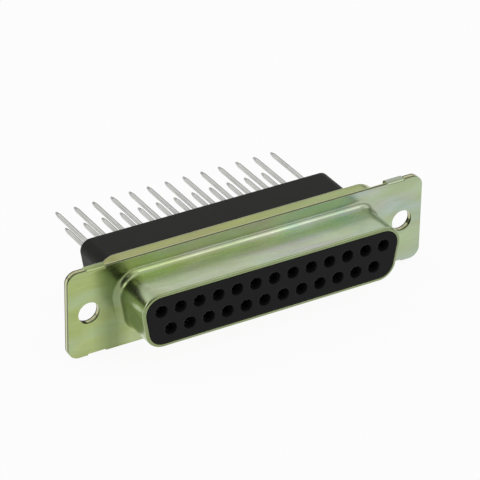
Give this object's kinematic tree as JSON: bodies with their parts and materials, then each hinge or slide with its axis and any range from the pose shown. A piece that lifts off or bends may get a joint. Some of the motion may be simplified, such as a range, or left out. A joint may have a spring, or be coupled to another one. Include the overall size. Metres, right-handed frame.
{
  "type": "d-sub socket connector",
  "caption": "D-shaped socket connector with a plated steel shell, screw flange, black insulator and straight round tails.",
  "frame": {"origin": "midway between the two mounting holes, on the front face of the flange", "axes": "+X along the flange, +Z towards the row with more contacts, the mating side faces -Y and the tails point to +Y"},
  "size_m": [0.053, 0.0283, 0.0126],
  "materials": {
    "front_plating": "satin",
    "rear_plating": "satin",
    "front_moulding": "satin",
    "rear_moulding": "matte",
    "contact_plating": "satin"
  },
  "bodies": {
    "root": {"front_shell": "front_plating", "rear_shell": "rear_plating", "front_insulator": "front_moulding", "rear_insulator": "rear_moulding", "contact_01": "contact_plating", "contact_02": "contact_plating", "contact_03": "contact_plating", "contact_04": "contact_plating", "contact_05": "contact_plating", "contact_06": "contact_plating", "contact_07": "contact_plating", "contact_08": "contact_plating", "contact_09": "contact_plating", "contact_10": "contact_plating", "contact_11": "contact_plating", "contact_12": "contact_plating", "contact_13": "contact_plating", "contact_14": "contact_plating", "contact_15": "contact_plating", "contact_16": "contact_plating", "contact_17": "contact_plating", "contact_18": "contact_plating", "contact_19": "contact_plating", "contact_20": "contact_plating", "contact_21": "contact_plating", "contact_22": "contact_plating", "contact_23": "contact_plating", "contact_24": "contact_plating", "contact_25": "contact_plating"}
  },
  "joints": []
}
